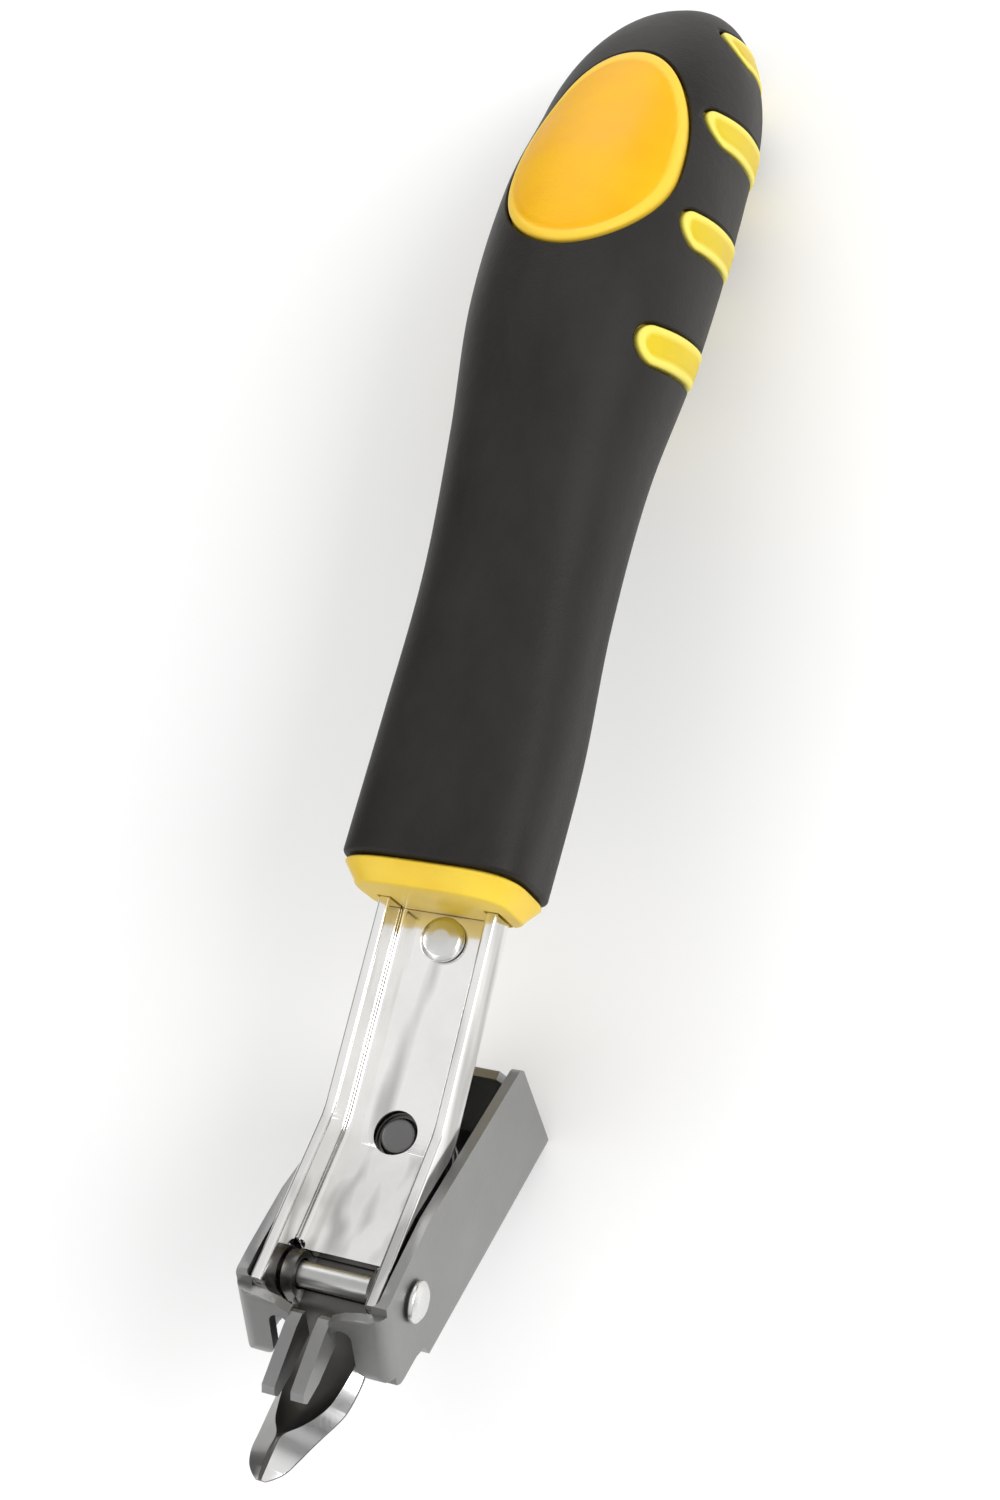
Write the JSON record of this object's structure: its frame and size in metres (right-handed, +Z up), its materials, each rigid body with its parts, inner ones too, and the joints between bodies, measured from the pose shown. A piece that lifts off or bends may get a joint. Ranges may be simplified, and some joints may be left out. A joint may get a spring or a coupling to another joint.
{
  "type": "staple remover",
  "caption": "Heavy-duty staple remover: two-colour handle, channel shank with a scooped lower jaw, and a sprung lever with prongs and a rocking heel.",
  "frame": {"origin": "middle of the footprint on the surface that the tool lies on, on its back: heel and handle belly touch Z = 0", "axes": "+X along the lever's pivot to the right, +Y along the tool from the jaws to the handle's butt, +Z up, out of the open side of the shank"},
  "size_m": [0.0326, 0.2144, 0.0468],
  "materials": {
    "black_rubber": "soft satin overmould",
    "yellow_plastic": "semi-gloss",
    "amber_plastic": "fine texture",
    "yellow_pad": "fine texture",
    "chromed_steel": "bright plate over pressed sheet",
    "hardened_steel": "bright, ground at the edges",
    "satin_steel": "satin",
    "rivet_steel": "bright zinc",
    "spring_steel": "drawn wire"
  },
  "bodies": {
    "handle": {"grip_sleeve": "black_rubber", "handle_core": "yellow_plastic", "thumb_pad": "amber_plastic", "finger_pad_1": "yellow_pad", "finger_pad_2": "yellow_pad", "finger_pad_3": "yellow_pad", "finger_pad_4": "yellow_pad", "shank": "chromed_steel", "jaw_blade": "hardened_steel", "handle_rivet": "rivet_steel", "spring_stud": "rivet_steel", "pivot_pin": "rivet_steel", "return_spring": "spring_steel"},
    "lever": {"jaw_lever": "satin_steel", "lever_stud": "rivet_steel"}
  },
  "joints": [
    {"name": "jaw_pivot", "type": "hinge", "parent": "handle", "child": "lever", "pos_m": [0, -0.08585, 0.03791], "axis": [1, 0, 0], "range_deg": [0, 14], "stiffness_Nm_per_rad": 0.25, "springref_deg": -28.65, "deforming": ["return_spring"]}
  ]
}
